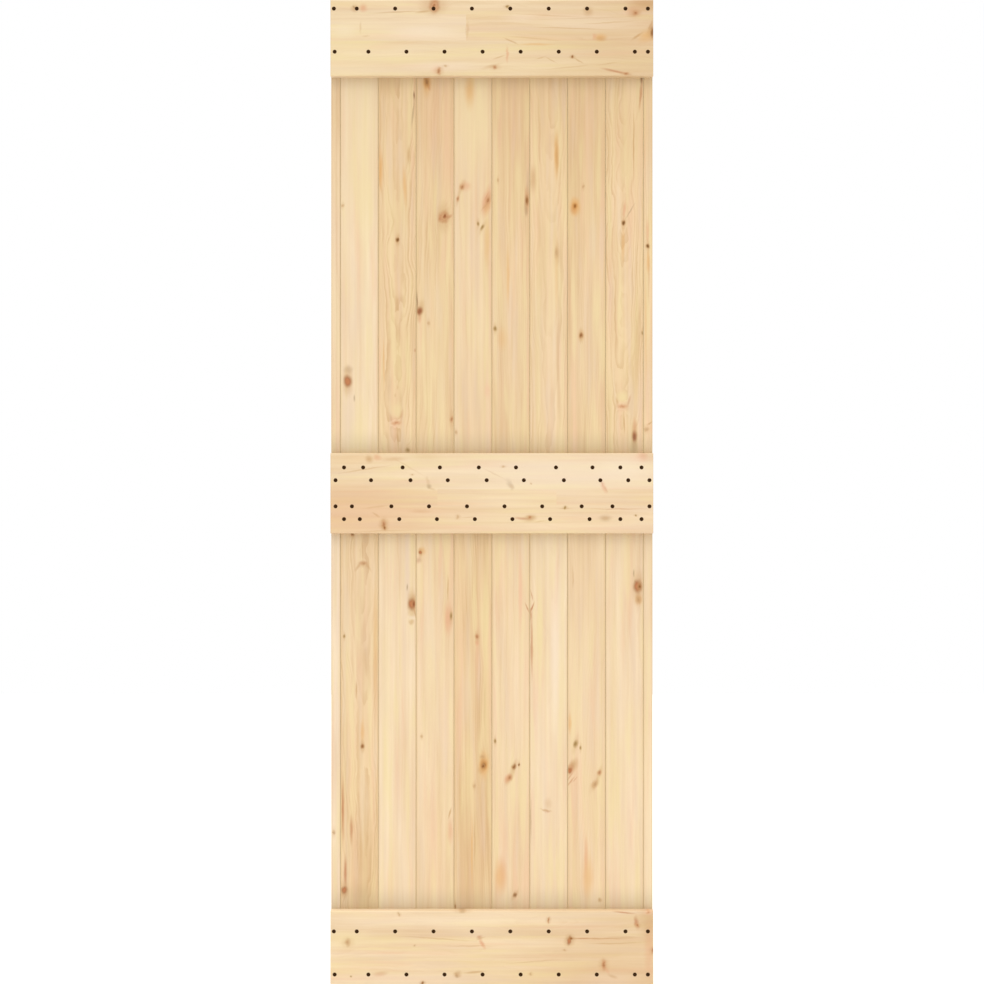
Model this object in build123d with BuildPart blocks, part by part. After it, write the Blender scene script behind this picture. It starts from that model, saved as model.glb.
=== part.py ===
from build123d import *
from math import radians, tan
import os

# A ledged sliding door leaf in softwood: tongued and grooved boards in two lengths, clamped between
# three front battens and three back battens. Millimetres, +Z up, front towards -Y. The origin is the
# centre of the front top batten's outer face, where strap hangers are bolted on.

# Door leaf
door_width = 700.0
door_height = 2140.0

# Upright boards
board_count = 8
board_thickness = 16.0
edge_strip_width = 20.0
seam_gap = 0.5
board_end_gap = 1.0
arris_chamfer = 1.0
edge_rounding = 1.5

# Tongue and groove
tongue_thickness = 5.0
tongue_length = 6.0
tongue_chamfer = 0.8
tongue_cheek_clearance = 0.2
tongue_tip_clearance = 0.6

# Battens
batten_thickness = 17.0
top_batten_height = 165.0
middle_batten_height = 174.0
bottom_batten_height = 165.0
batten_rounding = 2.5

# Conical seats that the countersunk screws cut in the front battens
screw_seat_radius = 4.6
screw_seat_angle = 100.0

# Screw rows of the top and bottom battens: distance from the door's end, and between the two rows
top_row_inset = 19.5
bottom_row_inset = 27.0
row_spacing = 93.4

# Screw rows of the middle batten: distance from its upper or lower edge
middle_outer_row_inset = 31.0
middle_inner_row_inset = 58.7

# Where a screw enters each board, from the board's left seam
first_row_offset = 37.2
first_row_creep = 0.7
second_row_offset = 62.4
upper_pair_offset = 53.4
lower_pair_offset = 28.2
pair_step = 17.1
upper_pair_drift = (-2.4, 0.7, -1.0, 0.8, -1.1, 3.1, -0.3, -22.4)
lower_pair_drift = (-1.5, 1.6, 0.6, 0.4, -0.8, -1.6, 1.5, -14.3)

# Screws of the edge strips, from the door's sides
first_row_left_inset = 7.6
second_row_left_inset = 9.3
end_row_right_inset = 11.8
pair_left_insets = (11.2, 29.6)
pair_right_insets = (8.4, 25.6)

# Places that follow from the sizes
door_left = -door_width / 2
door_right = door_width / 2
door_top = top_batten_height / 2
door_bottom = door_top - door_height
door_middle = (door_top + door_bottom) / 2
board_pitch = (door_width - 2 * edge_strip_width) / board_count
boards_front = batten_thickness
boards_back = boards_front + board_thickness
boards_middle = (boards_front + boards_back) / 2
door_back = boards_back + batten_thickness
screw_seat_depth = screw_seat_radius / tan(radians(screw_seat_angle / 2))

os.makedirs("parts", exist_ok=True)


def seam(number):
    """The place across the door of the seam to the left of a board, counted from 0."""
    return door_left + edge_strip_width + number * board_pitch


def export(piece, name):
    """Labels a finished piece and writes it to its own file."""
    piece.part.label = name
    export_step(piece.part, f"parts/{name}.step")


# Upright boards

def upright(left, right, low, high, grooved, tongued):
    """One board or edge strip: a machined section, run up from its low end to its high end."""
    left_side = left + seam_gap / 2 if grooved else left
    right_side = right - seam_gap / 2 if tongued else right
    width = right_side - left_side
    with BuildPart() as piece:
        with BuildSketch(Plane.XY.offset(low)) as section:
            with Locations(((left_side + right_side) / 2, boards_middle)):
                Rectangle(width, board_thickness)
            sides = section.vertices().group_by(Axis.X)
            if grooved:
                chamfer(sides[0], arris_chamfer)
            else:
                fillet(sides[0], edge_rounding)
            sides = section.vertices().group_by(Axis.X)
            if tongued:
                chamfer(sides[-1], arris_chamfer)
            else:
                fillet(sides[-1], edge_rounding)
            if grooved:
                groove_depth = tongue_length - seam_gap + tongue_tip_clearance
                with Locations((left_side + groove_depth / 2, boards_middle)):
                    Rectangle(
                        groove_depth,
                        tongue_thickness + 2 * tongue_cheek_clearance,
                        mode=Mode.SUBTRACT,
                    )
            if tongued:
                with Locations((right_side + tongue_length / 2, boards_middle)):
                    Rectangle(tongue_length, tongue_thickness)
                chamfer(section.vertices().group_by(Axis.X)[-1], tongue_chamfer)
        extrude(amount=high - low)
    return piece


def course(name, low, high):
    """The boards of one length, side by side between the two edge strips."""
    last = seam(board_count)
    export(upright(door_left, seam(0), low, high, False, True), f"{name}_left_edge_strip")
    for number in range(board_count):
        board = upright(seam(number), seam(number + 1), low, high, True, True)
        export(board, f"{name}_board_{number + 1}")
    export(upright(last, door_right, low, high, True, False), f"{name}_right_edge_strip")


# Battens

def batten(outer_face, height, middle):
    """A planed batten with eased arrises, standing on the plane of its outer face."""
    with BuildPart() as piece:
        with BuildSketch(outer_face):
            with Locations((0, middle)):
                Rectangle(door_width, height)
        extrude(amount=-batten_thickness)
        face = piece.faces().sort_by(Axis((0, 0, 0), outer_face.z_dir))[-1]
        fillet(face.edges(), batten_rounding)
    return piece


def screw_row(height, offset, left_inset, right_inset, creep=0.0, drift=(0.0,)):
    """One screw in each edge strip and in each board, along a row at the given height."""
    row = [(door_left + left_inset, height)]
    for number in range(board_count):
        wander = creep * number + drift[number % len(drift)]
        row.append((seam(number) + offset + wander, height))
    row.append((door_right - right_inset, height))
    return row


def end_rows(first, second):
    """The two rows of a top or bottom batten."""
    return screw_row(
        first, first_row_offset, first_row_left_inset, end_row_right_inset, first_row_creep
    ) + screw_row(second, second_row_offset, second_row_left_inset, end_row_right_inset)


def pair_rows(outer, inner, offset, drift, outer_step, inner_step):
    """Two rows of the middle batten that fix the boards of one length, with a pair in each board."""
    left_near, left_far = pair_left_insets
    right_near, right_far = pair_right_insets
    return screw_row(
        outer, offset + outer_step, left_far, right_far, drift=drift
    ) + screw_row(inner, offset + inner_step, left_near, right_near, drift=drift)


def screwed_batten(height, middle, points):
    """A front batten with a screw seat at each point of its outer face."""
    plain = batten(front_face, height, middle)
    with BuildPart() as piece:
        add(plain.part)
        with Locations(front_face):
            with Locations(*points):
                Cone(
                    bottom_radius=0,
                    top_radius=screw_seat_radius,
                    height=screw_seat_depth,
                    align=(Align.CENTER, Align.CENTER, Align.MAX),
                    mode=Mode.SUBTRACT,
                )
    return piece


# Seen from the front and from the back, with local x along +X and along -X, and local y up
front_face = Plane(origin=(0, 0, 0), x_dir=(1, 0, 0), z_dir=(0, -1, 0))
back_face = Plane(origin=(0, door_back, 0), x_dir=(-1, 0, 0), z_dir=(0, 1, 0))

course("upper", door_middle + board_end_gap / 2, door_top)
course("lower", door_bottom, door_middle - board_end_gap / 2)

top_middle = door_top - top_batten_height / 2
bottom_middle = door_bottom + bottom_batten_height / 2
middle_top = door_middle + middle_batten_height / 2
middle_bottom = door_middle - middle_batten_height / 2

top_points = end_rows(door_top - top_row_inset, door_top - top_row_inset - row_spacing)
bottom_points = end_rows(
    door_bottom + bottom_row_inset + row_spacing, door_bottom + bottom_row_inset
)
middle_points = pair_rows(
    middle_top - middle_outer_row_inset,
    middle_top - middle_inner_row_inset,
    upper_pair_offset,
    upper_pair_drift,
    0,
    pair_step,
) + pair_rows(
    middle_bottom + middle_outer_row_inset,
    middle_bottom + middle_inner_row_inset,
    lower_pair_offset,
    lower_pair_drift,
    pair_step,
    0,
)

front_battens = {
    "front_top_batten": (top_batten_height, top_middle, top_points),
    "front_middle_batten": (middle_batten_height, door_middle, middle_points),
    "front_bottom_batten": (bottom_batten_height, bottom_middle, bottom_points),
}
for name, (height, middle, points) in front_battens.items():
    export(screwed_batten(height, middle, points), name)

back_battens = {
    "back_top_batten": (top_batten_height, top_middle),
    "back_middle_batten": (middle_batten_height, door_middle),
    "back_bottom_batten": (bottom_batten_height, bottom_middle),
}
for name, (height, middle) in back_battens.items():
    export(batten(back_face, height, middle), name)
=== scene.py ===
import bpy
import math
import random
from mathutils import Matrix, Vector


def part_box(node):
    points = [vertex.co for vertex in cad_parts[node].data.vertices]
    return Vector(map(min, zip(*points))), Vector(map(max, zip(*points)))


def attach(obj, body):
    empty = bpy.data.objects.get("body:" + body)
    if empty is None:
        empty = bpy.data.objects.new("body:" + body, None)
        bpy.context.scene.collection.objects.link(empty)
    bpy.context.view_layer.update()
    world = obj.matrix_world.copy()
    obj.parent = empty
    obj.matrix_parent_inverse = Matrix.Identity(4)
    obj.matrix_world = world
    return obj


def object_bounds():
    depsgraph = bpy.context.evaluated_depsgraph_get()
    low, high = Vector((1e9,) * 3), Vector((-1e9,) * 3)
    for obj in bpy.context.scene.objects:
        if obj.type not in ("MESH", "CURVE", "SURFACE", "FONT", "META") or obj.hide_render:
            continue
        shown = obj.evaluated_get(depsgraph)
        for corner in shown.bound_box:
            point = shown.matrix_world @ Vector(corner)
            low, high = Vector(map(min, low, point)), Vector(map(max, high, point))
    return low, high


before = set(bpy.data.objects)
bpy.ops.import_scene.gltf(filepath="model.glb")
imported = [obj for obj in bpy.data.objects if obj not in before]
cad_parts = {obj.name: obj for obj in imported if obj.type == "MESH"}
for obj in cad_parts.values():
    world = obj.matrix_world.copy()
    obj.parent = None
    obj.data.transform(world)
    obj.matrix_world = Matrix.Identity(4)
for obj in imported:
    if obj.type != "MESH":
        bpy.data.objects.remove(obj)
cad_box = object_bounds()

# Upright boards
# Two courses of eight tongued and grooved pine boards, planed and left bare, with a narrow strip ripped
# from the same stock at each side of the door. Only the battens hold them, and they show between the
# battens on both faces of the door, each with its own years, tone, knots and streaks of resin.


def chart(red, green, blue):
    """A colour read off a paint chart, 0 to 255, as Blender's linear light."""
    parts = [part / 255 for part in (red, green, blue)]
    light = [part / 12.92 if part <= 0.04045 else ((part + 0.055) / 1.055) ** 2.4 for part in parts]
    return (*light, 1.0)


class Wire:
    """A socket of a material's nodes. Sums and products of wires add the Math nodes that they need."""

    def __init__(self, tree, socket=None):
        self.tree = tree
        self.socket = socket

    def node(self, kind, settings=None, inputs=None, output=0):
        """Adds a node: its settings come first, then the values or wires of its sockets."""
        added = self.tree.nodes.new(kind)
        for name, value in (settings or {}).items():
            setattr(added, name, value)
        for name, value in (inputs or {}).items():
            socket = self.find(added.inputs, name)
            if isinstance(value, Wire):
                self.tree.links.new(value.socket, socket)
            else:
                socket.default_value = value
        return Wire(self.tree, self.find(added.outputs, output))

    @staticmethod
    def find(sockets, name):
        """A socket by its number, its identifier or its label."""
        if isinstance(name, int):
            return sockets[name]
        for socket in sockets:
            if socket.identifier == name:
                return socket
        return sockets[name]

    def math(self, operation, *operands):
        return self.node("ShaderNodeMath", {"operation": operation}, dict(enumerate(operands)))

    def __add__(self, other):
        return self.math("ADD", self, other)

    __radd__ = __add__

    def __mul__(self, other):
        return self.math("MULTIPLY", self, other)

    __rmul__ = __mul__

    def __sub__(self, other):
        return self.math("SUBTRACT", self, other)

    def __rsub__(self, other):
        return self.math("SUBTRACT", other, self)

    def __truediv__(self, other):
        return self.math("DIVIDE", self, other)

    def __pow__(self, other):
        return self.math("POWER", self, other)

    def __abs__(self):
        return self.math("ABSOLUTE", self)

    def within(self, low, high):
        """1 where the wire lies between two values, and 0 elsewhere."""
        return self.math("GREATER_THAN", self, low) * self.math("LESS_THAN", self, high)

    def ease(self, start, end):
        """Rises softly from 0 to 1 as the wire goes from start to end, which may also lie below start."""
        return self.node(
            "ShaderNodeMapRange",
            {"interpolation_type": "SMOOTHSTEP"},
            {"Value": self, "From Min": start, "From Max": end},
        )

    def noise(self, x, y, z, detail=2.0, roughness=0.5, output="Fac"):
        """Soft noise around 0.5 with waves about one unit long."""
        place = self.node("ShaderNodeCombineXYZ", {}, {"X": x, "Y": y, "Z": z})
        settings = {"Vector": place, "Scale": 1.0, "Detail": detail, "Roughness": roughness}
        return self.node("ShaderNodeTexNoise", {}, settings, output)

    def vectors(self, operation, inputs, output="Vector"):
        return self.node("ShaderNodeVectorMath", {"operation": operation}, inputs, output)

    def part(self, letter):
        """One coordinate of a vector."""
        return self.node("ShaderNodeSeparateXYZ", {}, {0: self}, letter)

    def blend(self, under, over):
        """The colour under, with this wire's amount of the colour over on top of it."""
        return self.node(
            "ShaderNodeMix",
            {"data_type": "RGBA"},
            {"Factor_Float": self, "A_Color": under, "B_Color": over},
            "Result_Color",
        )

    def tinted(self, colour, amount):
        """This colour with an amount of another one over it."""
        return amount.blend(self, colour)


# Bare pine from sapwood to heartwood: the wood that grew in spring, and the bands that darken it
TONES = {
    "milk": (chart(233, 214, 188), chart(210, 180, 144)),
    "cream": (chart(230, 209, 177), chart(204, 171, 130)),
    "fresh": (chart(228, 204, 168), chart(200, 165, 123)),
    "peach": (chart(227, 205, 170), chart(198, 164, 123)),
    "honey": (chart(227, 200, 160), chart(193, 157, 112)),
}
# Resin, stains and dirt that lie over the wood, and the colours of the shade and light painted along battens
# and seams
TINTS = {
    "amber": chart(210, 160, 98),
    "rust": chart(170, 98, 56),
    "salmon": chart(208, 152, 116),
    "rose": chart(220, 178, 146),
    "straw": chart(222, 203, 152),
    "milk": chart(230, 212, 188),
    "tan": chart(184, 142, 94),
    "grey": chart(160, 136, 104),
    "bark": chart(104, 62, 30),
    "lilac": chart(214, 190, 166),
    "butter": chart(229, 210, 166),
    "painted_shade_grey": chart(150, 138, 112),
}
# A knot's heart, body and rim, how far out its heart reaches, and the stain around it with its strength
KNOTS = {
    "red": (chart(176, 110, 68), chart(162, 98, 62), chart(152, 106, 66), 0.6, "tan", 0.45),
    "dead": (chart(132, 76, 44), chart(156, 98, 62), chart(160, 112, 74), 0.5, "tan", 0.4),
    "rusty": (chart(158, 106, 66), chart(184, 134, 92), chart(194, 148, 106), 0.5, "tan", 0.3),
    "brown": (chart(128, 82, 42), chart(158, 112, 68), chart(166, 122, 78), 0.5, "tan", 0.4),
    "pin": (chart(104, 66, 20), chart(140, 96, 46), chart(168, 122, 76), 0.6, "tan", 0.3),
    "olive": (chart(146, 116, 66), chart(168, 136, 88), chart(176, 144, 96), 0.5, "tan", 0.25),
    "eye": (chart(156, 96, 56), chart(196, 146, 104), chart(170, 114, 74), 0.3, "tan", 0.35),
    "resin": (chart(140, 88, 36), chart(178, 124, 66), chart(196, 142, 84), 0.5, "amber", 0.5),
    "blush": (chart(184, 128, 88), chart(202, 156, 116), chart(204, 162, 122), 0.4, "rose", 0.4),
    "ghost": (chart(168, 130, 88), chart(186, 148, 104), chart(188, 148, 104), 0.5, "tan", 0.2),
}
# How much a knot hides the wood under it: most kinds, and those that show less
KNOT_COVER = 0.9
FAINT_KNOT_COVER = {"ghost": 0.5, "eye": 0.8, "blush": 0.8, "rusty": 0.8}
# The width of a year's shell in a knot, in millimetres
KNOT_SHELL = 2.2

# Where the boards of each course come out from behind the batten above and go in behind the one below,
# in millimetres from their upper ends, and the strength of a painted tan shade that fades downwards from the
# batten above
SHOWING = {"upper": (165, 982, 0.1), "lower": (86, 904, 0.0)}
PAINTED_TAN_SHADE_LENGTH = 340.0
# How far the painted shade reaches under and on top of a batten, and beside a seam
PAINTED_SHADE_UNDER = 30.0
PAINTED_SHADE_ON_TOP = 56.0
PAINTED_SHADE_AT_SEAM = 4.2
# The width of a board's and an edge strip's face between its seams
BOARD_FACE = 82.0
STRIP_FACE = 19.75

MM_PER_METRE = 1000
# So much deeper than wide that a knot or a streak goes right through the wood
RIGHT_THROUGH = 1e6
BUMP_HEIGHT = 0.0002


def knotted(colour, near, far, size, kind, blotches):
    """A colour with a knot over it. near is 1 at its outline, and far near the end of its stain."""
    heart, body, rim, reach, stain_and_shade, strength = KNOTS[kind]
    colour = colour.tinted(TINTS[stain_and_shade], far.ease(1.2, 0.3) * strength)
    shells = near.math("FRACT", near * (size / KNOT_SHELL)).ease(0.4, 1.0) * 0.25
    face = (near.ease(reach * 1.3, reach * 0.4) + shells + blotches * 1.6).blend(body, heart)
    face = face.tinted(rim, near.ease(0.5, 0.9) * (blotches * 1.2 + 0.6))
    return colour.tinted(face, near.ease(1.55, 0.5) * FAINT_KNOT_COVER.get(kind, KNOT_COVER))


def with_painted_shade_and_light(colour, node, x, down, facing):
    """A board's colour with painted shade along its battens and seams, where contact shade falls, and
    painted light on its seams' chamfers.
    """
    first, last, stain_and_shade = SHOWING[node.split("_")[0]]
    # Painted shade under and on top of the battens, where their contact shade falls on the boards
    under = abs(down - first).ease(PAINTED_SHADE_UNDER, 0.0) * 0.24
    on_top = abs(down - last).ease(PAINTED_SHADE_ON_TOP, 0.0) * 0.3
    colour = colour.tinted(TINTS["painted_shade_grey"], under + on_top)
    # Painted tan shade below the top batten, fading downwards
    colour = colour.tinted(TINTS["tan"], abs(down - first).ease(PAINTED_TAN_SHADE_LENGTH, 20.0) * stain_and_shade)

    # Painted shade beside each seam, where the groove's shade falls, and painted light on the chamfers of
    # the seams, which lifts the shade in the groove
    face_width = BOARD_FACE if "board" in node else STRIP_FACE
    beside = x.math("MINIMUM", x, face_width - x).ease(PAINTED_SHADE_AT_SEAM, 0.8)
    colour = colour.tinted(TINTS["tan"], beside * 0.22)
    slope = abs(facing.part("X"))
    # Painted light on the sloping chamfers of the seams
    return colour.tinted(TINTS["butter"], slope.ease(0.5, 0.65) * slope.ease(0.95, 0.8) * 0.55)


def pine(
    node, tone, pith, ring, grain=1.0, wander=1.0, seed=0.0, shade=0.0, along="Z",
    knots=(), streaks=(), staves=(),
):
    """Gives a CAD node its own bare pine. Places are millimetres from the node's left and top edges.

    pith is the middle of the tree: across the grain, and behind the piece's front. ring is the width of
    a year, grain the strength of its line, wander its waviness and shade how much darker the whole piece
    is. Each list is drawn in its order, a later mark over an earlier one, and holds:
    knots (x, down, half width, half height, kind, degrees turned anticlockwise or nothing),
    streaks (x, down, half width, half height, degrees turned anticlockwise, tint, strength),
    staves glued into a batten (from x, to x, from down, to down, grain shifted by, tint, strength).
    """
    low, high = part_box(node)
    material = bpy.data.materials.new("pine_" + node)
    material.use_nodes = True
    wood = Wire(material.node_tree)
    place = wood.vectors(
        "MULTIPLY_ADD",
        {
            0: wood.node("ShaderNodeTexCoord", output="Object"),
            1: (MM_PER_METRE, MM_PER_METRE, -MM_PER_METRE),
            2: (-MM_PER_METRE * low[0], -MM_PER_METRE * low[1], MM_PER_METRE * high[2]),
        },
    )
    x = place.part("X")
    depth = place.part("Y")
    down = place.part("Z")
    across, length = (x, down) if along == "Z" else (down, x)

    # Each stave has grain of its own, shifted sideways and drawn from other noise
    in_staves = []
    shift = 0.0
    for left, right, top, bottom, jump, _, _ in staves:
        inside = x.within(left, right) * down.within(top, bottom)
        in_staves.append(inside)
        shift = inside * jump + shift
    other = shift * 0.137 + seed if staves else seed

    # Outlines of knots and streaks waver, more along the grain than across it
    swirl = wood.noise(across * 0.11, depth * 0.1 + other, length * 0.035, 3.0, output="Color")
    sway = (4.0, 0.0, 9.0) if along == "Z" else (9.0, 0.0, 4.0)
    wavering = wood.vectors("MULTIPLY_ADD", {0: swirl, 1: sway, 2: place})

    def spot(cx, cy, half_width, half_height, turned=0.0):
        """The vector from a place on the face, measured so that an ellipse around it is 1 away."""
        return wood.node(
            "ShaderNodeMapping",
            {"vector_type": "TEXTURE"},
            {
                "Vector": wavering,
                "Location": (cx + sway[0] / 2, 0.0, cy + sway[2] / 2),
                "Rotation": (0.0, math.radians(turned), 0.0),
                "Scale": (half_width, RIGHT_THROUGH, half_height),
            },
        )

    spots = []
    for cx, cy, half_width, half_height, kind, *turned in knots:
        place_in_knot = spot(cx, cy, half_width, half_height, *turned)
        reach = (0.6, 1.0, 0.3) if along == "Z" else (0.3, 1.0, 0.6)
        around = wood.vectors("MULTIPLY", {0: place_in_knot, 1: reach})
        near = wood.vectors("LENGTH", {0: place_in_knot}, "Value")
        far = wood.vectors("LENGTH", {0: around}, "Value")
        spots.append((near, far, min(half_width, half_height), kind))

    # Years are shells around a wandering pith, and part and close up again around each knot
    slow = (wood.noise(length * 0.0021, other, 3.7) - 0.5) * (46.0 * wander)
    quick = (wood.noise(length * 0.011, other, 5.2) - 0.5) * (9.0 * wander)
    deep = (wood.noise(length * 0.0027, other, 8.1) - 0.5) * 24.0
    ripple = wood.noise(across * 0.03, depth * 0.03 + other, length * 0.009, 3.0) - 0.5
    sideways = across + shift - pith[0] + slow + quick
    inwards = depth - pith[1] + deep
    radius = wood.math("SQRT", sideways ** 2.0 + inwards ** 2.0)
    radius = radius + ripple * (4.0 + 10.0 * wander) + length * 0.02
    for _, far, size, _ in spots:
        radius = radius + wood.math("EXPONENT", far * far * -1.6) * (size * 1.3)
    years = radius / ring + (wood.noise(radius * 0.09, other, 1.3) - 0.5) * 3.0
    year = wood.math("FRACT", years)
    luck = wood.node(
        "ShaderNodeTexWhiteNoise", {"noise_dimensions": "1D"}, {"W": wood.math("FLOOR", years)}, "Value"
    )
    fading = wood.noise(across * 0.05, depth * 0.05 + other, length * 0.0045, 2.0).ease(0.32, 0.66)
    late = year.ease(0.25, 0.9) * year.ease(1.0, 0.94) * (luck * 0.75 + 0.25) * (fading * 0.8 + 0.2)

    # Long soft bands of tone, and the fine fibre
    broad = wood.noise(across * 0.03, depth * 0.03, length * 0.0035 + other, 2.0) - 0.5
    bands = wood.noise(across * 0.11, depth * 0.08, length * 0.002 + other, 3.0) - 0.5
    hue = wood.noise(across * 0.045, depth * 0.03, length * 0.003 - other, 3.0)
    sap = wood.noise(across * 0.05, depth * 0.03, length * 0.004 - other, 2.0)
    fibre = wood.noise(across * 1.3, depth * 1.3, length * 0.02 + other, 3.0, 0.65)
    darkness = broad * 0.8 + bands * 0.85 + late * (0.4 * grain) + (fibre - 0.5) * 0.24 + (0.34 + shade)
    colour = darkness.blend(*TONES[tone])
    colour = colour.tinted(TINTS["rose"], hue.ease(0.5, 0.74) * 0.44)
    colour = colour.tinted(TINTS["straw"], hue.ease(0.5, 0.26) * 0.46)
    colour = colour.tinted(TINTS["straw"], sap.ease(0.5, 0.7) * 0.48)
    colour = colour.tinted(TINTS["lilac"], sap.ease(0.5, 0.3) * 0.34)

    for inside, (_, _, _, _, _, tint, strength) in zip(in_staves, staves):
        colour = colour.tinted(TINTS[tint], inside * strength)
    for cx, cy, half_width, half_height, turned, tint, strength in streaks:
        away = wood.vectors("LENGTH", {0: spot(cx, cy, half_width, half_height, turned)}, "Value")
        colour = colour.tinted(TINTS[tint], away.ease(1.35, 0.1) * strength)
    blotches = wood.noise(across * 0.32, depth * 0.3 + other, length * 0.24, 3.0) - 0.5
    for near, far, size, kind in spots:
        colour = knotted(colour, near, far, size, kind, blotches)

    # A board gets painted shade along its battens and seams and painted light on its seams' chamfers, and
    # sawn ends of any piece are darker than its faces
    facing = wood.node("ShaderNodeTexCoord", output="Normal")
    if along == "Z":
        colour = with_painted_shade_and_light(colour, node, x, down, facing)
    colour = colour.tinted(TINTS["tan"], abs(facing.part(along)).ease(0.6, 0.95) * 0.5)

    shader = material.node_tree.nodes["Principled BSDF"]
    shader.inputs["Specular IOR Level"].default_value = 0.1
    wood.tree.links.new(colour.socket, shader.inputs["Base Color"])
    wood.tree.links.new((fibre * 0.2 - late * 0.1 + 0.55).socket, shader.inputs["Roughness"])
    relief = wood.node(
        "ShaderNodeBump", {}, {"Strength": 0.3, "Distance": BUMP_HEIGHT, "Height": late * 0.5 + fibre}
    )
    wood.tree.links.new(relief.socket, shader.inputs["Normal"])
    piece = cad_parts[node]
    piece.data.materials.clear()
    piece.data.materials.append(material)


pine(
    "upper_left_edge_strip", "fresh", pith=(90, 40), ring=5, grain=0.8, seed=0.4, shade=-0.05,
    streaks=[
        (12, 499, 3, 500, 0, "tan", 0.3), (10, 640, 20, 330, 0, "milk", 0.2),
        (10, 240, 20, 110, 0, "tan", 0.12),
    ],
)
pine(
    "upper_board_1", "cream", pith=(190, 70), ring=9, grain=0.3, seed=1.2, shade=-0.08,
    knots=[(5, 443, 3, 3, "ghost"), (16, 826, 8, 11.5, "red")],
    streaks=[
        (17, 800, 11, 9, 0, "grey", 0.4), (30, 863, 2, 9, 0, "grey", 0.7),
        (18, 911, 16, 75, 0, "lilac", 0.6), (53, 419, 12, 400, 0, "straw", 0.4),
        (6, 249, 6, 120, 0, "rose", 0.2), (45, 300, 50, 260, 0, "butter", 0.35),
    ],
)
pine(
    "upper_board_2", "honey", pith=(44, 36), ring=3.6, grain=1.3, wander=1.2, seed=2.6, shade=-0.04,
    knots=[(42, 518, 3.8, 5, "pin"), (39, 917, 10, 4.4, "blush"), (64, 977, 5, 5, "olive")],
    streaks=[
        (78, 204, 2.5, 10, 0, "bark", 0.8), (76, 239, 2.6, 36, -6, "grey", 0.6),
        (66, 334, 5, 22, 0, "tan", 0.5), (20, 180, 34, 30, 0, "tan", 0.2),
        (5, 367, 5, 50, 0, "amber", 0.75), (57, 399, 5, 46, 3, "amber", 0.55),
        (40, 889, 14, 20, 0, "straw", 0.5), (27, 906, 3.4, 13, 14, "rust", 0.22),
        (36, 919, 8, 4, 0, "rust", 0.35), (51, 901, 3.4, 16, -8, "rust", 0.3),
        (43, 954, 1.8, 26, 3, "tan", 0.6), (12, 786, 2, 64, 0, "amber", 0.5),
        (3, 786, 3, 60, 0, "rose", 0.5), (80, 758, 3, 5, 0, "rust", 0.4),
    ],
)
pine(
    "upper_board_3", "honey", pith=(-40, 40), ring=5.5, grain=0.9, seed=3.9, shade=0.05,
    knots=[
        (23, 174, 6, 12, "resin"), (60, 468, 10.5, 11.5, "eye"), (62, 467, 3.6, 4.6, "dead"),
        (7, 673, 6, 8.5, "dead", -15), (27, 699, 3, 4, "ghost"), (77, 909, 3.8, 7, "rusty"),
    ],
    streaks=[
        (23, 176, 10, 17, 0, "amber", 0.8), (19, 168, 3, 7, 30, "bark", 0.7),
        (27, 184, 3, 10, 12, "rust", 0.7), (41, 760, 50, 240, 0, "butter", 0.3),
        (41, 250, 50, 140, 0, "tan", 0.15), (72, 468, 8, 4, 30, "rust", 0.5),
        (52, 471, 4, 9, -20, "rust", 0.5), (60, 479, 9, 3, 0, "tan", 0.4),
        (2, 651, 2, 24, 3, "bark", 0.7), (68, 299, 12, 180, 0, "rose", 0.5),
        (34, 249, 26, 110, 0, "rose", 0.3), (58, 559, 9, 60, -6, "rose", 0.3),
        (8, 689, 4, 12, 0, "salmon", 0.5), (10, 719, 4, 40, 0, "rose", 0.3),
    ],
)
pine(
    "upper_board_4", "fresh", pith=(200, 60), ring=8, grain=0.3, seed=4.7,
    knots=[
        (17, 403, 4.4, 6, "rusty", -20), (8, 428, 3, 6, "rusty", -10), (52, 483, 2.6, 4.4, "olive"),
        (62, 491, 3.2, 6.5, "olive", -25), (74, 433, 4.6, 8, "rusty", -20), (4, 937, 3, 3, "ghost"),
    ],
    streaks=[
        (41, 250, 50, 150, 0, "butter", 0.55), (41, 860, 50, 160, 0, "tan", 0.12),
        (40, 170, 7, 18, 0, "straw", 0.6), (34, 190, 12, 42, 0, "amber", 0.65),
        (71, 434, 11, 34, -12, "salmon", 0.8), (73, 445, 8, 20, -14, "amber", 0.35),
        (72, 524, 7, 64, 0, "amber", 0.4), (25, 401, 13, 12, 0, "salmon", 0.5),
        (72, 847, 8, 18, 0, "rose", 0.5), (66, 447, 12, 1.6, 50, "tan", 0.4),
        (70, 424, 12, 1.6, 60, "rust", 0.3),
    ],
)
pine(
    "upper_board_5", "honey", pith=(150, 20), ring=5, grain=0.75, wander=0.5, seed=5.3, shade=0.08,
    knots=[(13, 388, 2.5, 4, "ghost"), (76, 433, 3.6, 10, "brown"), (7, 712, 4, 5, "olive")],
    streaks=[
        (9, 479, 6, 380, 0, "straw", 0.4), (76, 433, 7, 30, 0, "salmon", 0.5),
        (73, 442, 4, 20, 0, "grey", 0.35), (78, 399, 3, 40, 0, "grey", 0.3),
        (35, 603, 4, 72, 0, "amber", 0.5), (22, 734, 12, 28, 0, "amber", 0.35),
        (48, 249, 14, 120, 0, "rose", 0.3), (75, 457, 3, 12, 0, "grey", 0.5),
        (41, 780, 50, 220, 0, "milk", 0.1), (41, 230, 50, 140, 0, "tan", 0.1),
    ],
)
pine(
    "upper_board_6", "honey", pith=(44, 44), ring=4, grain=0.95, wander=0.7, seed=6.1, shade=-0.06,
    knots=[(58, 546, 4, 11, "ghost")],
    streaks=[
        (58, 334, 6, 50, 0, "amber", 0.9), (59, 338, 4, 40, 0, "tan", 0.45),
        (7, 386, 8, 32, 0, "tan", 0.5), (58, 599, 4, 90, 0, "amber", 0.3),
        (62, 819, 4, 120, 2, "tan", 0.3), (18, 699, 9, 260, 0, "straw", 0.35),
        (50, 760, 50, 220, 0, "milk", 0.15), (41, 210, 50, 120, 0, "tan", 0.1),
    ],
)
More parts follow.
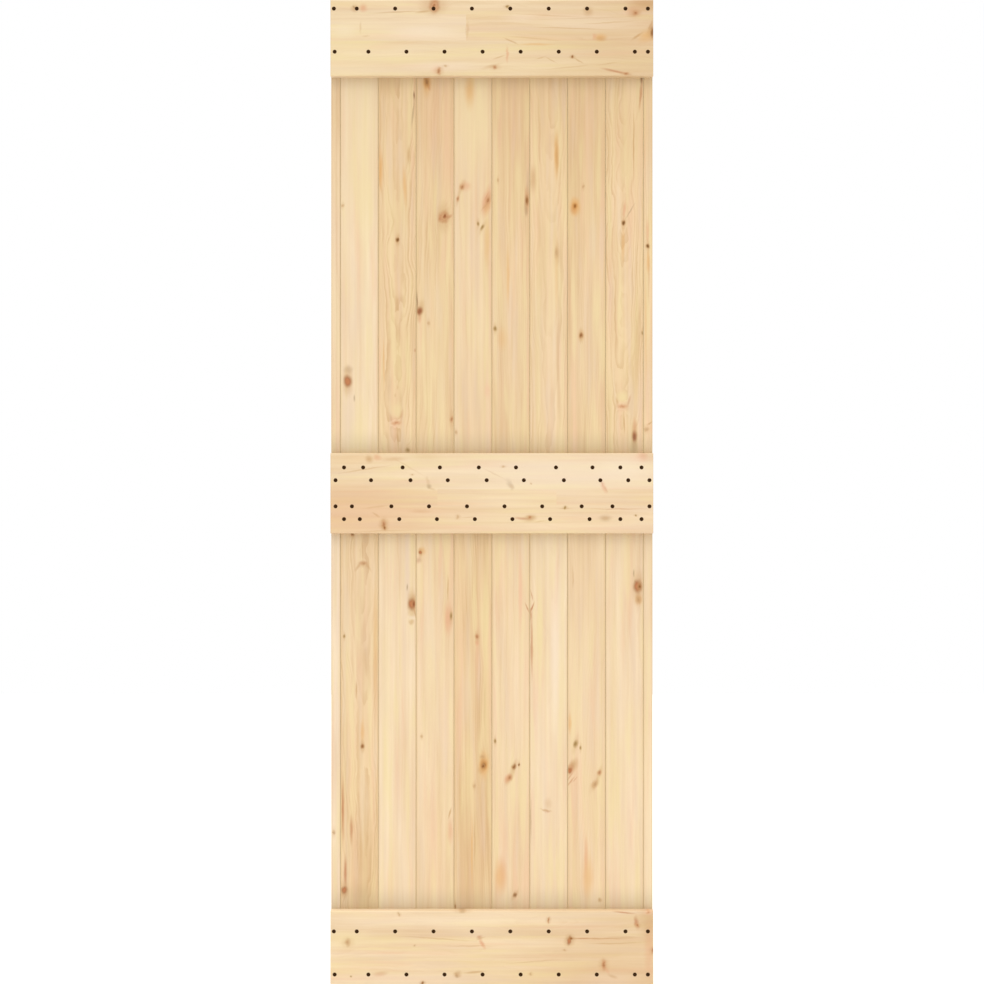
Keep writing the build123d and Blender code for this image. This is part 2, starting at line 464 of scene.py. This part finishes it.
pine(
    "upper_board_7", "honey", pith=(-70, 15), ring=4.6, grain=0.75, wander=0.5, seed=7.4, shade=0.04,
    knots=[(34, 402, 2.5, 3.5, "ghost"), (16, 444, 5, 7, "resin"), (29, 726, 4, 5.5, "brown")],
    streaks=[
        (16, 446, 13, 20, 0, "amber", 0.85), (14, 450, 8, 11, 0, "rust", 0.35),
        (41, 760, 50, 240, 0, "milk", 0.1), (41, 250, 50, 170, 0, "tan", 0.12),
        (29, 726, 8, 12, 0, "amber", 0.3), (46, 299, 14, 140, 0, "rose", 0.25),
    ],
)
pine(
    "upper_board_8", "honey", pith=(40, 34), ring=3.8, grain=1.3, wander=1.3, seed=8.8, shade=-0.12,
    knots=[
        (39, 481, 3.6, 5, "pin"), (37, 881, 9.5, 4.2, "blush"), (63, 946, 5, 11.5, "dead"),
        (80, 721, 2.2, 4.5, "olive"),
    ],
    streaks=[
        (78, 167, 3, 12, 0, "bark", 0.8), (76, 204, 3, 34, -5, "rust", 0.6),
        (61, 311, 2, 80, 0, "tan", 0.7), (41, 452, 3, 22, -6, "salmon", 0.55),
        (54, 455, 1.6, 22, -30, "grey", 0.5), (41, 250, 50, 140, 0, "tan", 0.12),
        (38, 529, 4, 44, 0, "amber", 0.45), (36, 861, 13, 17, 0, "straw", 0.7),
        (25, 872, 3, 12, 14, "tan", 0.4), (51, 869, 3, 14, -18, "rust", 0.35),
        (40, 915, 1.8, 26, 2, "tan", 0.7), (63, 924, 5, 18, 0, "salmon", 0.5),
        (62, 974, 10, 26, 0, "grey", 0.4), (68, 759, 6, 120, -2, "tan", 0.3),
    ],
)
pine(
    "upper_right_edge_strip", "honey", pith=(60, 30), ring=4.5, grain=0.8, seed=9.6, shade=-0.16,
    knots=[(9, 531, 3.6, 5, "pin"), (6, 930, 6, 4, "ghost")],
    streaks=[
        (9, 499, 4, 30, 0, "salmon", 0.5), (10, 565, 4, 30, 0, "amber", 0.6),
        (12, 599, 2.5, 60, 0, "rust", 0.2), (5, 699, 3, 120, 0, "amber", 0.3),
        (14, 917, 8, 2.4, 38, "tan", 0.6), (18, 929, 4, 12, 0, "rose", 0.6),
        (10, 260, 20, 120, 0, "tan", 0.1),
    ],
)
pine(
    "lower_left_edge_strip", "milk", pith=(90, 40), ring=6, grain=0.4, seed=10.3, shade=-0.05,
    knots=[(6, 737, 3, 5, "ghost")],
    streaks=[
        (6, 619, 12, 132, 0, "tan", 0.2), (10, 190, 20, 110, 0, "tan", 0.1),
        (10, 850, 20, 120, 0, "tan", 0.18), (5, 738, 5, 1.6, 0, "grey", 0.6),
    ],
)
pine(
    "lower_board_1", "honey", pith=(50, 30), ring=4.6, grain=1.4, wander=1.2, seed=11.5,
    knots=[
        (26, 90, 3.5, 4, "brown"), (51, 152, 4, 3, "ghost"), (8, 310, 2.6, 3.6, "olive"),
        (48, 551, 3.5, 5, "brown"), (8, 863, 6, 7, "red"),
    ],
    streaks=[
        (49, 155, 15, 7, 0, "tan", 0.3), (49, 151, 10, 4.6, 0, "rust", 0.55),
        (38, 159, 3.6, 12, -34, "tan", 0.65), (60, 159, 3.6, 12, 36, "tan", 0.55),
        (48, 123, 2, 26, 0, "tan", 0.6), (35, 428, 1.8, 20, 0, "tan", 0.8),
        (48, 519, 5, 30, 0, "amber", 0.6), (5, 689, 4, 76, 0, "rust", 0.7),
        (24, 732, 4, 32, 0, "rust", 0.55), (11, 825, 4, 36, 0, "rust", 0.65),
        (10, 867, 9, 12, 0, "tan", 0.4), (38, 869, 26, 30, 0, "grey", 0.2),
        (76, 329, 5, 150, 0, "amber", 0.4), (41, 280, 50, 260, 0, "milk", 0.15),
        (41, 860, 50, 170, 0, "tan", 0.2),
    ],
)
pine(
    "lower_board_2", "cream", pith=(180, 60), ring=8, grain=0.4, seed=12.2,
    knots=[(73, 240, 7.4, 11, "red"), (77, 240, 3, 7, "dead")],
    streaks=[
        (63, 159, 6, 110, 0, "lilac", 0.5), (63, 205, 2, 9, 0, "grey", 0.75),
        (73, 270, 9, 5, -25, "milk", 0.6), (72, 280, 7, 7, 0, "tan", 0.5),
        (74, 231, 10, 14, 0, "tan", 0.3), (80, 261, 2, 26, 12, "tan", 0.6),
        (18, 499, 12, 260, 0, "straw", 0.3), (56, 329, 7, 120, 0, "lilac", 0.3),
    ],
)
pine(
    "lower_board_3", "fresh", pith=(-120, 50), ring=7, grain=0.4, seed=13.7,
    knots=[(9, 130, 3.2, 3.6, "red"), (76, 267, 3.4, 8, "olive"), (12, 529, 3, 3, "ghost")],
    streaks=[
        (12, 126, 10, 10, 0, "amber", 0.6), (5, 145, 7, 9, 0, "salmon", 0.4),
        (69, 206, 2, 30, 0, "tan", 0.6), (69, 272, 10, 38, 0, "salmon", 0.65),
        (6, 145, 7, 6, 0, "grey", 0.3), (41, 480, 50, 260, 0, "milk", 0.12),
        (73, 696, 2.4, 14, -14, "tan", 0.7), (74, 734, 7, 32, 0, "salmon", 0.5),
        (38, 759, 14, 120, 0, "rose", 0.3),
    ],
)
pine(
    "lower_board_4", "honey", pith=(130, 25), ring=5.6, grain=0.85, wander=0.6, seed=14.4, shade=0.1,
    knots=[
        (50, 310, 4, 5.5, "rusty"), (65, 591, 7, 11, "resin"), (63, 594, 4, 5, "brown"),
        (62, 574, 5, 4, "ghost"), (44, 636, 3, 4, "ghost"), (2, 900, 2.5, 5, "brown"),
    ],
    streaks=[
        (65, 593, 11, 18, 0, "amber", 0.75), (58, 603, 8, 10, 20, "tan", 0.4),
        (41, 820, 50, 200, 0, "tan", 0.2), (39, 779, 2, 80, 0, "amber", 0.6),
        (50, 325, 5, 8, 0, "salmon", 0.5), (45, 759, 1.8, 60, 0, "tan", 0.5),
        (12, 399, 10, 220, 0, "rose", 0.3), (70, 419, 8, 260, 0, "straw", 0.4),
        (70, 699, 4, 140, 0, "tan", 0.3),
    ],
)
pine(
    "lower_board_5", "fresh", pith=(-60, 30), ring=6, grain=0.5, seed=15.9,
    knots=[
        (7, 539, 2.4, 5, "olive"), (48, 595, 4.4, 5.5, "brown", -20), (59, 591, 2, 3, "pin"),
        (39, 619, 4.6, 7, "rusty", -30), (50, 874, 3.6, 5, "brown", -30),
    ],
    streaks=[
        (62, 214, 5, 90, 0, "rose", 0.8), (41, 460, 50, 260, 0, "milk", 0.12),
        (19, 834, 14, 42, 0, "amber", 0.6), (25, 824, 9, 40, 0, "salmon", 0.3),
        (35, 621, 8, 12, -30, "salmon", 0.8), (77, 249, 1.8, 12, 22, "rust", 0.6),
        (28, 759, 8, 60, 0, "rose", 0.35),
    ],
)
pine(
    "lower_board_6", "cream", pith=(40, 60), ring=7, grain=0.45, seed=16.6,
    streaks=[
        (5, 248, 2, 14, -20, "rust", 0.75), (2, 265, 2, 12, 0, "rust", 0.6),
        (4, 221, 1.6, 12, 12, "rust", 0.5), (4, 329, 3, 78, 0, "rust", 0.6),
        (2, 710, 2, 50, 0, "bark", 0.35), (35, 690, 13, 2.6, -14, "tan", 0.7),
        (40, 675, 9, 13, 0, "tan", 0.3), (38, 693, 5, 3, 0, "rust", 0.3),
        (22, 329, 6, 180, 0, "straw", 0.6), (56, 359, 12, 200, 0, "milk", 0.6),
        (41, 560, 50, 240, 0, "milk", 0.12), (68, 399, 8, 300, 0, "straw", 0.3),
    ],
)
pine(
    "lower_board_7", "fresh", pith=(-90, 45), ring=6, grain=0.5, seed=17.3,
    knots=[
        (17, 545, 4.4, 8, "olive", -15), (28, 553, 2.4, 4.4, "olive"), (4, 603, 4.6, 6, "red", -20),
        (69, 608, 4, 6, "rusty", -20), (59, 633, 5, 8, "ghost", -30),
    ],
    streaks=[
        (11, 184, 1.6, 28, 0, "tan", 0.5), (5, 501, 4, 26, 0, "amber", 0.6),
        (12, 592, 10, 17, -25, "tan", 0.7), (6, 601, 9, 12, -20, "rust", 0.4),
        (5, 601, 7, 11, 0, "salmon", 0.6), (6, 629, 1.8, 16, -35, "rust", 0.5),
        (4, 619, 1.8, 14, -35, "rust", 0.45), (59, 633, 8, 12, -30, "tan", 0.55),
        (43, 835, 14, 52, 0, "amber", 0.5), (40, 785, 5, 44, 0, "salmon", 0.5),
        (70, 886, 5, 5, 0, "tan", 0.8), (16, 622, 9, 1.4, 50, "rust", 0.35),
        (41, 200, 50, 130, 0, "tan", 0.1), (41, 440, 50, 180, 0, "milk", 0.12),
    ],
)
pine(
    "lower_board_8", "cream", pith=(170, 60), ring=7, grain=0.4, seed=18.1,
    knots=[(70, 202, 8.6, 12.5, "red"), (74, 202, 3.6, 5.5, "brown"), (71, 232, 5, 9, "ghost")],
    streaks=[
        (61, 173, 2, 9, 0, "grey", 0.75), (72, 231, 10, 14, 0, "amber", 0.5),
        (67, 195, 1.6, 7, 40, "bark", 0.4), (72, 209, 7, 1.6, -10, "bark", 0.4),
        (74, 231, 6, 8, 0, "tan", 0.4), (60, 329, 8, 120, 0, "lilac", 0.4),
        (18, 499, 12, 300, 0, "straw", 0.25),
    ],
)
pine(
    "lower_right_edge_strip", "cream", pith=(90, 60), ring=6, grain=0.4, seed=19.4, shade=-0.02,
    streaks=[(10, 640, 20, 260, 0, "butter", 0.25)],
)

# Front battens
# Three planks of edge-glued pine staves with eased edges, laid across the boards and screwed to them from
# the front. Their grain runs across the door.

pine(
    "front_top_batten", "peach", pith=(58, 60), ring=6, grain=0.5, wander=1.6, seed=21.3, shade=-0.12,
    along="X",
    knots=[
        (384, 15, 3, 3.5, "olive"), (698, 71, 4, 12, "brown"), (356, 147, 4.6, 4.2, "rusty"),
        (236, 155, 3.8, 7.5, "rusty"), (250, 144, 3, 2.6, "ghost"), (525, 124, 2.4, 3.4, "brown"),
        (640, 161, 5, 2.5, "rusty"), (225, 13, 10.5, 14.5, "eye"), (660, 29, 6, 5, "rusty", 20),
    ],
    streaks=[
        (660, 80, 250, 240, 0, "tan", 0.3), (52, 19, 9, 9, 0, "tan", 0.6),
        (71, 18, 10, 9.5, 0, "salmon", 0.65), (50, 16, 2, 5, 40, "bark", 0.35),
        (225, 6, 4, 8, 0, "rust", 0.6), (225, 13, 11, 15, 0, "salmon", 0.4),
        (200, 26, 16, 3.4, 8, "tan", 0.5), (559, 26, 12, 12, 0, "tan", 0.55),
        (657, 27, 17, 12, -20, "tan", 0.7), (672, 15, 30, 20, 0, "salmon", 0.25),
        (146, 27, 62, 2, 2, "tan", 0.45), (66, 60, 2.6, 14, 0, "tan", 0.35),
        (77, 79, 9, 2.2, 0, "tan", 0.35), (204, 69, 86, 17, 0, "milk", 0.4),
        (31, 69, 28, 16, 0, "milk", 0.4), (247, 144, 100, 12, 0, "milk", 0.4),
        (297, 66, 4, 20, 0, "tan", 0.3), (585, 82, 15, 9, 0, "amber", 0.7),
        (588, 85, 12, 6, 0, "tan", 0.4), (572, 80, 5, 8, 0, "salmon", 0.5),
        (665, 79, 15, 3, 35, "tan", 0.7), (694, 56, 3, 15, -20, "tan", 0.7),
        (688, 77, 24, 14, 25, "amber", 0.6), (383, 119, 3.4, 18, 0, "salmon", 0.6),
        (231, 152, 14, 10, 0, "rose", 0.5), (350, 144, 24, 4, 15, "tan", 0.3),
        (366, 125, 14, 1.8, 20, "tan", 0.45), (392, 90, 18, 2, -22, "tan", 0.55),
        (445, 97, 38, 3, 0, "amber", 0.45), (454, 126, 13, 1.6, 14, "tan", 0.4),
        (479, 131, 15, 1.6, -28, "tan", 0.4), (538, 132, 13, 1.8, -30, "tan", 0.5),
        (600, 139, 26, 1.6, 6, "tan", 0.35), (618, 156, 33, 3, -13, "rust", 0.6),
        (440, 84, 60, 2, -5, "tan", 0.3), (650, 26, 22, 14, 0, "rose", 0.4),
        (520, 146, 50, 2, 6, "tan", 0.3), (560, 40, 110, 1.4, 2, "tan", 0.45),
        (560, 50, 150, 22, 0, "milk", 0.35), (260, 4, 120, 11, 0, "tan", 0.2),
        (690, 8, 46, 18, 0, "tan", 0.55), (410, 38, 40, 12, 0, "milk", 0.25),
        (20, 90, 120, 60, 0, "straw", 0.3), (520, 62, 90, 1.4, -2, "tan", 0.45),
        (600, 50, 60, 1.4, 4, "tan", 0.4), (470, 34, 80, 1.4, -3, "tan", 0.3),
    ],
    staves=[
        (0, 294, 32, 89, 90, "milk", 0.14), (294, 700, 32, 89, -60, "amber", 0.08),
        (0, 700, 89, 165, 140, "straw", 0.16),
    ],
)
pine(
    "front_middle_batten", "peach", pith=(80, 70), ring=7, grain=0.22, wander=1.3, seed=22.7,
    shade=-0.08, along="X",
    knots=[
        (374, 29, 3, 2.5, "ghost"), (177, 47, 2, 2, "ghost"), (116, 155, 4, 10, "rusty", 10),
        (118, 162, 2.5, 4, "brown"), (276, 138, 2.4, 4.6, "ghost"), (432, 139, 3.4, 3.4, "rusty"),
        (508, 118, 2.5, 3.4, "olive"), (663, 135, 2, 2.4, "olive"), (436, 66, 1.5, 2, "ghost"),
    ],
    streaks=[
        (0, 125, 220, 66, 0, "tan", 0.3), (0, 130, 300, 70, 0, "amber", 0.15),
        (60, 125, 170, 60, 0, "rose", 0.35), (60, 12, 100, 14, 0, "amber", 0.2),
        (84, 13, 10, 9, -30, "tan", 0.6), (102, 9, 9, 8, 0, "salmon", 0.5),
        (138, 13, 30, 5.5, 3, "tan", 0.35), (150, 30, 60, 9, 12, "straw", 0.4),
        (70, 36, 62, 1.8, 9, "tan", 0.4), (212, 62, 4, 14, 10, "tan", 0.3),
        (214, 72, 6, 5, -20, "grey", 0.55), (220, 77, 10, 3, -20, "tan", 0.3),
        (356, 45, 27, 1.8, -27, "tan", 0.45), (389, 67, 6.5, 14, 28, "grey", 0.55),
        (392, 72, 5, 8, 28, "tan", 0.5), (593, 73, 6, 15, 25, "salmon", 0.85),
        (588, 64, 2, 10, 25, "rust", 0.55), (597, 78, 2, 9, 25, "tan", 0.5),
        (676, 9, 12, 11, 0, "salmon", 0.8), (668, 12, 22, 12, 0, "rose", 0.4),
        (100, 116, 30, 2, 8, "tan", 0.3), (196, 126, 24, 5, 0, "tan", 0.25),
        (98, 134, 10, 2.6, -35, "tan", 0.45), (116, 154, 9, 14, 0, "tan", 0.3),
        (431, 143, 15, 8, 0, "tan", 0.4), (415, 142, 20, 3, -4, "rust", 0.45),
        (436, 139, 12, 8, 0, "tan", 0.35), (455, 148, 14, 2, 10, "tan", 0.3),
        (620, 121, 70, 1.6, 0, "rust", 0.3), (508, 120, 16, 1.4, 0, "tan", 0.45),
        (596, 141, 17, 8, 0, "grey", 0.35), (596, 141, 12, 6, 0, "tan", 0.4),
        (170, 30, 44, 2, -30, "tan", 0.2), (120, 168, 80, 2, 2, "tan", 0.25),
        (690, 8, 26, 14, 0, "tan", 0.2), (205, 8, 40, 12, 0, "tan", 0.18),
        (300, 139, 16, 1.4, 0, "tan", 0.35), (500, 44, 300, 50, 0, "milk", 0.5),
        (640, 30, 70, 30, 0, "milk", 0.35),
    ],
    staves=[
        (0, 232, 78, 113, 120, "tan", 0.07), (232, 490, 78, 113, -70, "amber", 0.05),
        (490, 700, 78, 113, 60, "amber", 0.1), (0, 700, 113, 174, -120, "rose", 0.08),
    ],
)
pine(
    "front_bottom_batten", "peach", pith=(70, 55), ring=5.5, grain=0.5, wander=1.5, seed=23.9,
    shade=-0.1, along="X",
    knots=[
        (38, 69, 5, 9, "ghost"), (38, 68, 2, 4, "ghost"), (148, 7, 2, 4, "ghost"),
        (286, 1, 7, 3, "ghost"), (182, 75, 1.5, 2, "ghost"), (45, 142, 1.6, 2, "olive"),
        (274, 139, 3, 4, "ghost"), (200, 156, 2.6, 4, "brown"), (473, 20, 2.2, 6, "rusty"),
        (518, 64, 4.2, 9.5, "red", -12), (521, 60, 4, 3, "brown"), (689, 3, 4, 4, "blush"),
        (593, 117, 4.4, 10, "rusty"), (699, 85, 3, 7, "rusty"), (434, 137, 2.4, 3.4, "ghost"),
        (508, 85, 2, 2, "ghost"), (667, 31, 3, 4, "rusty"),
    ],
    streaks=[
        (670, 90, 240, 260, 0, "tan", 0.28), (329, 71, 5, 14, 25, "salmon", 0.75),
        (323, 57, 8, 4, 20, "rust", 0.45), (326, 60, 12, 2, 20, "tan", 0.4),
        (277, 137, 9, 9, 0, "tan", 0.55), (274, 142, 4, 4, 0, "grey", 0.5),
        (312, 133, 24, 3, 4, "tan", 0.6), (545, 60, 18, 1.8, 0, "rust", 0.45),
        (586, 60, 74, 1.6, 0, "tan", 0.7), (595, 71, 32, 1.5, 0, "tan", 0.45),
        (637, 4, 24, 2, -6, "rust", 0.6), (664, 25, 6, 15, 8, "rust", 0.6),
        (611, 142, 11, 4, -20, "tan", 0.65), (600, 130, 4, 9, 30, "salmon", 0.4),
        (593, 117, 6, 13, 0, "salmon", 0.5), (691, 80, 11, 70, 0, "salmon", 0.35),
        (640, 57, 40, 1.6, 0, "tan", 0.45), (640, 70, 40, 1.6, 3, "tan", 0.4),
        (230, 60, 90, 1.6, -4, "tan", 0.4), (440, 110, 60, 1.6, 5, "tan", 0.3),
        (120, 60, 60, 12, 0, "straw", 0.4), (108, 136, 18, 6, 8, "tan", 0.45),
        (106, 138, 16, 6, 8, "salmon", 0.3), (300, 76, 60, 1.6, 0, "tan", 0.4),
        (200, 22, 200, 14, 0, "milk", 0.2), (190, 48, 200, 15, 0, "tan", 0.25),
        (692, 24, 28, 44, 0, "tan", 0.42), (430, 46, 100, 15, 0, "tan", 0.2),
        (610, 150, 70, 20, 0, "milk", 0.25), (150, 156, 190, 26, 0, "milk", 0.4),
        (30, 58, 60, 18, 0, "straw", 0.5),
    ],
    staves=[(0, 700, 0, 54, 70, "milk", 0.1), (0, 700, 108, 165, -90, "amber", 0.05)],
)

# Back battens
# The same three planks again, laid across the back of the boards. No screw shows in them, because the
# screws from the front stop inside them.

pine(
    "back_top_batten", "peach", pith=(90, -30), ring=6, grain=0.5, seed=31.2, along="X",
    knots=[(150, 60, 7, 6, "red"), (470, 110, 5, 5, "brown"), (610, 34, 4, 5, "ghost")],
    streaks=[(300, 90, 120, 2, 2, "tan", 0.5), (520, 40, 70, 6, -3, "amber", 0.35)],
    staves=[(0, 700, 0, 52, 80, "milk", 0.12), (0, 410, 110, 165, -70, "amber", 0.1)],
)
pine(
    "back_middle_batten", "peach", pith=(60, -40), ring=6.5, grain=0.45, seed=32.8, along="X",
    knots=[(90, 120, 6, 7, "brown"), (380, 40, 6, 5, "red"), (560, 128, 3, 4, "pin")],
    streaks=[(180, 30, 100, 2, -2, "tan", 0.5), (450, 96, 90, 5, 2, "amber", 0.3)],
    staves=[(0, 520, 60, 118, 110, "milk", 0.14), (520, 700, 60, 118, -50, "amber", 0.12)],
)
pine(
    "back_bottom_batten", "peach", pith=(100, -36), ring=5.5, grain=0.5, seed=33.5, along="X",
    knots=[(240, 50, 5, 6, "red"), (330, 130, 4, 4, "pin"), (640, 90, 6, 7, "brown")],
    streaks=[(420, 70, 120, 2, 1, "tan", 0.5), (120, 120, 60, 6, 3, "amber", 0.3)],
    staves=[(0, 700, 56, 112, 60, "milk", 0.12)],
)

# Screws
# Eighty countersunk wood screws with a cross recess, in dark phosphated steel. Each is driven until its head
# sits just below the batten's face, turned as the driver left it. Only the heads are made: the shanks
# are hidden in the wood.

HEAD_RADIUS = 0.0044
HEAD_SUNK = 0.00015
HEAD_LENGTH = 0.0032
HEAD_TIP_RADIUS = 0.0006
RIM_WIDTH = 0.0004
RECESS_REACH = 0.0025
RECESS_WIDTH = 0.0009
RECESS_DEPTH = 0.0016
SEAT_POINT_DEPTH = 0.00386
SEAT_POINT_PLAY = 0.0001
HEAD_SIDES = 20

steel = bpy.data.materials.new("phosphated_screw_steel")
steel.use_nodes = True
steel_shader = steel.node_tree.nodes["Principled BSDF"]
steel_shader.inputs["Base Color"].default_value = chart(58, 34, 6)
steel_shader.inputs["Metallic"].default_value = 0.1
steel_shader.inputs["Specular IOR Level"].default_value = 0.12
coating = Wire(steel.node_tree)
steel_place = coating.node("ShaderNodeTexCoord", output="Object")
spread = coating.node("ShaderNodeTexNoise", {}, {"Vector": steel_place, "Scale": 900.0})
steel.node_tree.links.new((spread * 0.3 + 0.35).socket, steel_shader.inputs["Roughness"])


def pick(mesh, wanted):
    """Selects the faces that a test on their middle and normal wants, in edit mode."""
    bpy.ops.mesh.select_all(action="DESELECT")
    bpy.ops.object.mode_set(mode="OBJECT")
    for face in mesh.polygons:
        face.select = wanted(face.center, face.normal)
    bpy.ops.object.mode_set(mode="EDIT")


bpy.ops.object.select_all(action="DESELECT")
bpy.ops.mesh.primitive_cone_add(
    vertices=HEAD_SIDES, radius1=HEAD_RADIUS, radius2=HEAD_TIP_RADIUS, depth=HEAD_LENGTH,
    location=(0, HEAD_LENGTH / 2, 0), rotation=(math.radians(-90), 0, 0),
)
head = bpy.context.object
head.name = "screw_head"
bpy.ops.object.transform_apply(location=True, rotation=True, scale=True)
bpy.ops.object.mode_set(mode="EDIT")
bpy.ops.mesh.select_mode(type="FACE")
pick(head.data, lambda middle, normal: normal.y < -0.9)
bpy.ops.mesh.inset(thickness=RIM_WIDTH, depth=RIM_WIDTH / 4)
bpy.ops.object.mode_set(mode="OBJECT")

for quarter in (0, 90):
    bpy.ops.object.select_all(action="DESELECT")
    bpy.ops.mesh.primitive_cube_add(size=1, location=(0, 0, 0))
    blade = bpy.context.object
    blade.scale = (2 * RECESS_REACH, 2 * RECESS_DEPTH, RECESS_WIDTH)
    blade.rotation_euler = (0, math.radians(quarter), 0)
    bpy.ops.object.transform_apply(location=True, rotation=True, scale=True)
    bpy.ops.object.select_all(action="DESELECT")
    head.select_set(True)
    bpy.context.view_layer.objects.active = head
    cut = head.modifiers.new("recess", "BOOLEAN")
    cut.operation = "DIFFERENCE"
    cut.solver = "EXACT"
    cut.object = blade
    bpy.ops.object.modifier_apply(modifier=cut.name)
    bpy.data.objects.remove(blade)
head.data.materials.append(steel)

driver = random.Random(11)
for batten in ("front_top_batten", "front_middle_batten", "front_bottom_batten"):
    points = {
        (round(corner.co.x, 5), round(corner.co.z, 5))
        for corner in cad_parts[batten].data.vertices
        if abs(corner.co.y - SEAT_POINT_DEPTH) < SEAT_POINT_PLAY
    }
    bpy.ops.object.select_all(action="DESELECT")
    for x, z in sorted(points):
        screw = head.copy()
        screw.data = head.data.copy()
        bpy.context.collection.objects.link(screw)
        screw.location = (x, HEAD_SUNK, z)
        screw.rotation_euler = (0, driver.uniform(0, math.pi / 2), 0)
        screw.select_set(True)
        bpy.context.view_layer.objects.active = screw
    bpy.ops.object.join()
    bpy.ops.object.transform_apply(location=True, rotation=True, scale=True)
    screws = bpy.context.object
    screws.name = batten + "_screws"
    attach(screws, "root")
    print(screws.name, len(points), len(screws.data.polygons))
bpy.data.objects.remove(head)

# Studio
# A plain white floor just below the hanging door, a wide soft light high in front of it, and white walls
# all around that light it evenly.

FLOOR_SIZE = 10.0
FLOOR_CLEARANCE = 0.012
bpy.ops.object.select_all(action="DESELECT")
bpy.ops.mesh.primitive_plane_add(size=FLOOR_SIZE, location=(0, 0, cad_box[0][2] - FLOOR_CLEARANCE))
floor = bpy.context.object
floor.name = "studio_floor"
paint = bpy.data.materials.new("white_floor_paint")
paint.use_nodes = True
paint_shader = paint.node_tree.nodes["Principled BSDF"]
paint_shader.inputs["Base Color"].default_value = (0.93, 0.93, 0.93, 1)
paint_shader.inputs["Roughness"].default_value = 0.9
floor.data.materials.append(paint)

TOP_LIGHT_HEIGHT = 78
bpy.ops.object.light_add(type="SUN", rotation=(math.radians(90 - TOP_LIGHT_HEIGHT), 0, 0))
top_light = bpy.context.object
top_light.name = "overhead_softbox"
top_light.data.energy = 1.6
top_light.data.angle = math.radians(50)

world = bpy.data.worlds.new("studio_walls")
bpy.context.scene.world = world
world.use_nodes = True
world.node_tree.nodes["Background"].inputs["Color"].default_value = (1, 1, 1, 1)
world.node_tree.nodes["Background"].inputs["Strength"].default_value = 1.0

# Camera
# It looks square at the front of the door from 3.4 m, and the door fills the height of its picture.

CAMERA_DISTANCE = 3.4
CAMERA_SIDE = 0.0003
CAMERA_HEIGHT = -0.9847
PICTURE_HEIGHT = 2.1326
bpy.ops.object.camera_add(
    location=(CAMERA_SIDE, -CAMERA_DISTANCE, CAMERA_HEIGHT), rotation=(math.radians(90), 0, 0)
)
camera = bpy.context.object
camera.data.angle = 2 * math.atan(PICTURE_HEIGHT / 2 / CAMERA_DISTANCE)
bpy.context.scene.camera = camera
bpy.context.scene.view_settings.view_transform = "Standard"
